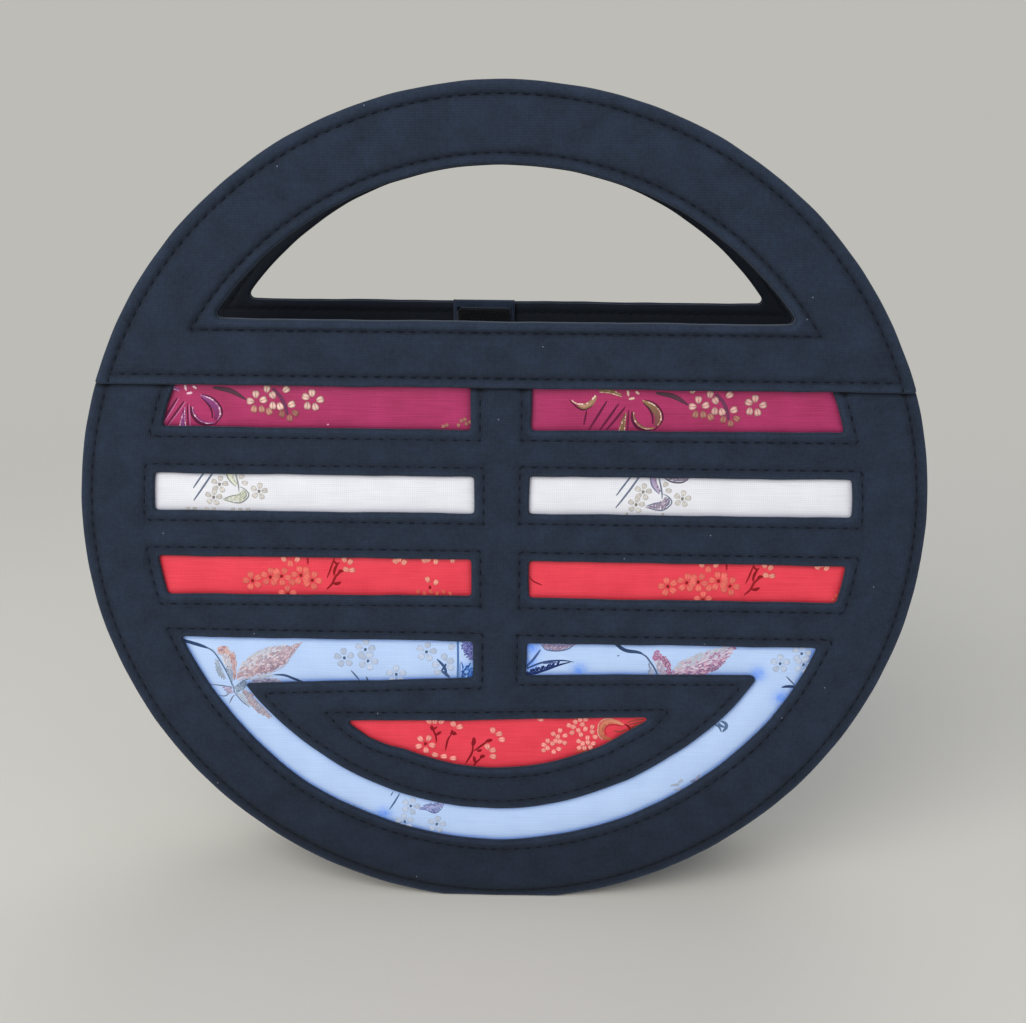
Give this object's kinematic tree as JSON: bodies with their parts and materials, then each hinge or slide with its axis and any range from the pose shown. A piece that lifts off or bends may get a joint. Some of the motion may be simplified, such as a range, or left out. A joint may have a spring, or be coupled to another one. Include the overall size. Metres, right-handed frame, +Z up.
{
  "type": "round handbag",
  "caption": "Round flat cloth handbag: black cotton discs with half-moon hand holes and an emblem of brocade-backed windows, joined by a folded gusset, with a hook-and-loop tab.",
  "frame": {"origin": "on the floor under the middle of the standing bag", "axes": "+X to the right seen from the front, -Y out of the front face, +Z up"},
  "size_m": [0.26, 0.061, 0.2598],
  "materials": {
    "black_cotton": "matt plain-woven cotton",
    "black_lining": "smooth lining cloth",
    "fleece": "needled fleece",
    "card": "grey-brown board",
    "fuchsia_brocade": "satin brocade",
    "white_brocade": "satin brocade",
    "red_brocade": "satin brocade",
    "blue_brocade": "satin brocade",
    "hook_and_loop": "napped tape"
  },
  "bodies": {
    "gusset": {"gusset_band": "black_cotton", "gusset_interlining": "fleece", "gusset_lining": "black_lining"},
    "front_panel": {"front_cover": "black_cotton", "front_interlining": "fleece", "front_fuchsia_inlay": "fuchsia_brocade", "front_white_inlay": "white_brocade", "front_red_inlay": "red_brocade", "front_blue_inlay": "blue_brocade", "front_red_segment_inlay": "red_brocade", "front_board": "card", "front_lining": "black_lining", "front_yoke": "black_cotton", "front_handle_core": "card", "front_yoke_facing": "black_cotton", "hook_patch": "hook_and_loop"},
    "back_panel": {"back_cover": "black_cotton", "back_interlining": "fleece", "back_fuchsia_inlay": "fuchsia_brocade", "back_white_inlay": "white_brocade", "back_red_inlay": "red_brocade", "back_blue_inlay": "blue_brocade", "back_red_segment_inlay": "red_brocade", "back_board": "card", "back_lining": "black_lining", "back_yoke": "black_cotton", "back_handle_core": "card", "back_yoke_facing": "black_cotton"},
    "closure_tab": {"closure_tab": "black_cotton", "loop_patch": "hook_and_loop"}
  },
  "joints": [
    {"name": "front_panel_swing", "type": "hinge", "parent": "gusset", "child": "front_panel", "pos_m": [0, -0.0248, 0.00335], "axis": [-1, 0, 0], "range_deg": [-2.5, 5.1], "stiffness_Nm_per_rad": 1.2, "deforming": ["gusset_band", "gusset_interlining", "gusset_lining"]},
    {"name": "back_panel_swing", "type": "hinge", "parent": "gusset", "child": "back_panel", "pos_m": [0, 0.0248, 0.00335], "axis": [1, 0, 0], "range_deg": [-2.5, 5.1], "stiffness_Nm_per_rad": 1.2, "deforming": ["gusset_band", "gusset_interlining", "gusset_lining"]},
    {"name": "closure_tab_swing", "type": "hinge", "parent": "back_panel", "child": "closure_tab", "pos_m": [0, 0.0239, 0.19145], "axis": [-1, 0, 0], "range_deg": [0, 170]}
  ]
}
